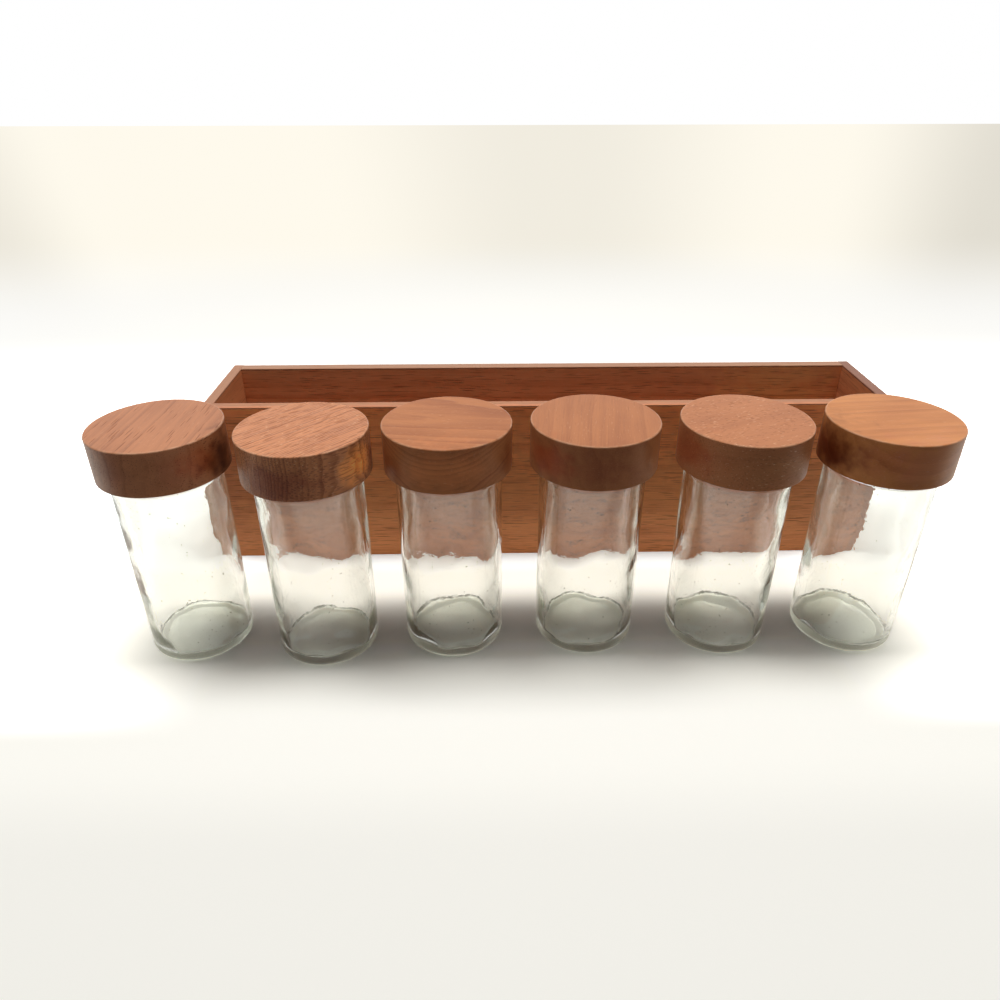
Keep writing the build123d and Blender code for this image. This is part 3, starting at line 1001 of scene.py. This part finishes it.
LIDS = [
    {
        "along": 88,
        "pith": (70, 12),
        "Pale": (0.53, 0.21, 0.092, 1),
        "Deep": (0.30, 0.10, 0.038, 1),
        "Dark": (0.17, 0.048, 0.02, 1),
        "Ring Width": 3.6,
        "Ring Strength": 0.45,
        "Fibre Strength": 0.7,
        "Streak Strength": 0.15,
        "Pore Strength": 0.6,
        "Pore Share": 0.45,
        "Pore Length": 17.0,
        "Pore Gap": 0.85,
        "Patch Strength": 0.6,
        "sheen": 0.35,
    },
    {
        "along": 47,
        "pith": (80, 5),
        "Pale": (0.68, 0.275, 0.12, 1),
        "Deep": (0.36, 0.12, 0.045, 1),
        "Dark": (0.24, 0.072, 0.028, 1),
        "Ring Width": 1.25,
        "Ring Strength": 0.85,
        "Wander": 2.5,
        "Fibre Strength": 0.55,
        "Streak Strength": 0.1,
        "Pore Strength": 0.5,
        "Pore Share": 0.85,
        "Pore Length": 7.0,
        "Pore Gap": 0.8,
        "Fleck Strength": 0.5,
        "sheen": 0.35,
        "relief": 0.15,
    },
    {
        "along": -8,
        "pith": (6, -52),
        "Pale": (0.52, 0.198, 0.075, 1),
        "Deep": (0.30, 0.09, 0.033, 1),
        "Ring Width": 2.1,
        "Ring Strength": 0.65,
        "Wander": 7.0,
        "Fibre Strength": 0.45,
        "Streak Strength": 0.05,
        "Pore Strength": 0.2,
        "Patch Strength": 0.5,
    },
    {
        "along": 83,
        "pith": (60, -20),
        "Pale": (0.51, 0.195, 0.077, 1),
        "Deep": (0.28, 0.085, 0.032, 1),
        "Ring Width": 6.5,
        "Ring Strength": 0.3,
        "Fibre Strength": 0.5,
        "Streak Strength": 0.12,
        "Pore Strength": 0.15,
        "Patch Strength": 0.5,
    },
    {
        "along": 20,
        "pith": (-30, -60),
        "Pale": (0.54, 0.21, 0.088, 1),
        "Deep": (0.32, 0.105, 0.042, 1),
        "Ring Width": 2.6,
        "Ring Strength": 0.22,
        "Wander": 9.0,
        "Fibre Strength": 0.4,
        "Streak Strength": 0.0,
        "Pore Strength": 0.25,
        "Pore Share": 0.6,
        "Pore Length": 3.0,
        "Fleck Strength": 0.5,
        "Patch Strength": 0.5,
    },
    {
        "along": 6,
        "pith": (-45, 40),
        "Pale": (0.66, 0.265, 0.088, 1),
        "Deep": (0.36, 0.108, 0.03, 1),
        "Ring Width": 4.6,
        "Ring Strength": 0.32,
        "Wander": 5.0,
        "Fibre Strength": 0.3,
        "Streak Strength": 0.1,
        "Pore Strength": 0.1,
        "Patch Strength": 0.6,
    },
]
# Patches in the lids' sides: lid, azimuth in degrees, height above the lid's middle in mm, reach
# across and up in mm, what it multiplies the colour by, and strength. Those marked below are
# painted shade where a side faces its neighbour lid.
LID_PATCHES = [
    # This and the next: painted shade where lid 1 faces lid 2, reddened as by light thrown back from
    # it
    (1, -38, 1, 12, 9, (1.0, 0.62, 0.50), 0.7),
    (1, -24, -2, 7, 11, (0.72, 0.50, 0.32), 0.8),
    (1, -63, 0, 8, 12, (0.88, 0.78, 0.80), 0.8),
    (1, -112, 0, 8, 12, (0.90, 0.74, 0.72), 0.8),
    # Painted shadow of lid 2 on the side of lid 1
    (1, -5, -2, 17, 13.5, (0.15, 0.09, 0.08), 1.0),
    (1, -125, 0, 16, 12, (0.75, 0.85, 0.95), 0.7),
    (2, -105, -3, 26, 12.5, (0.50, 0.33, 0.32), 0.9),
    (2, -30, -1, 12, 10.5, (2.2, 2.1, 1.35), 0.95),
    # Painted shade where lid 2 faces lid 3
    (2, 6, -2, 9, 12, (0.42, 0.25, 0.20), 0.9),
    (3, -150, -2, 11, 12, (0.60, 0.45, 0.36), 0.8),
    (3, -22, -2, 11, 12, (0.60, 0.45, 0.36), 0.8),
    (3, -86, 0, 24, 14, (1.5, 1.4, 1.35), 0.85),
    (4, -140, 0, 17, 11, (0.95, 0.50, 0.42), 0.8),
    (4, -92, 0, 18, 12, (0.80, 0.68, 0.72), 0.8),
    (5, -158, 0, 20, 12, (0.85, 0.50, 0.42), 0.7),
    (5, -75, 0, 18, 12, (1.0, 1.1, 1.1), 0.8),
    # Painted shade where lid 6 faces lid 5
    (6, -178, -2, 25, 15, (0.24, 0.12, 0.10), 1.0),
    (6, -82, 0, 30, 14, (0.98, 0.95, 1.35), 0.9),
    (6, -110, 2, 18, 12, (0.95, 0.80, 0.72), 0.6),
]


def middle(node):
    low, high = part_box(node)
    return [(a + b) / 2 for a, b in zip(low, high)]


def finish_node(node, material):
    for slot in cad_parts[node].material_slots:
        slot.material = material


def lid_spots(number):
    """The patches of one lid as wood_material takes them, in metres."""
    low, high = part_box(f"lid_{number}")
    radius = (high[0] - low[0]) / 2
    centre = Vector(middle(f"lid_{number}"))
    spots = []
    for lid, azimuth, height, across, up, tint, strength in LID_PATCHES:
        if lid == number:
            angle = math.radians(azimuth)
            place = centre + Vector((radius * math.cos(angle), radius * math.sin(angle), height * MM))
            spots.append((place, (across * MM, across * MM, up * MM), tint, strength))
    return spots


def lid_rim(number):
    """The centre of a lid's top and its radius."""
    low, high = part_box(f"lid_{number}")
    return ((low[0] + high[0]) / 2, (low[1] + high[1]) / 2, high[2]), (high[0] - low[0]) / 2


grain = make_grain_group()
spot = make_spot_group()
dry_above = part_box("front_board")[1][2] - DRY_DEPTH
for node, cut in BOARDS.items():
    cut = {"centre": middle(node), "bare": dry_above, **cut}
    finish_node(node, wood_material(f"teak_{node}", grain, spot, **cut))
for number, cut in enumerate(LIDS, 1):
    node = f"lid_{number}"
    cut = {"centre": middle(node), "spots": lid_spots(number), "rim": lid_rim(number), **cut}
    finish_node(node, wood_material(f"teak_{node}", grain, spot, **cut))

glass = glass_material("pressed_glass")
jar_group = make_jar_group()
stopper = plastic_material("milky_plastic")
for number in range(1, JAR_COUNT + 1):
    make_jar(number, jar_group, glass)
    finish_node(f"stopper_{number}", stopper)
steel = steel_material("dulled_steel")
for node in ("corner_brads", "bottom_brads"):
    finish_node(node, steel)

make_floor()
light_room()
hang_lamp()
set_camera()
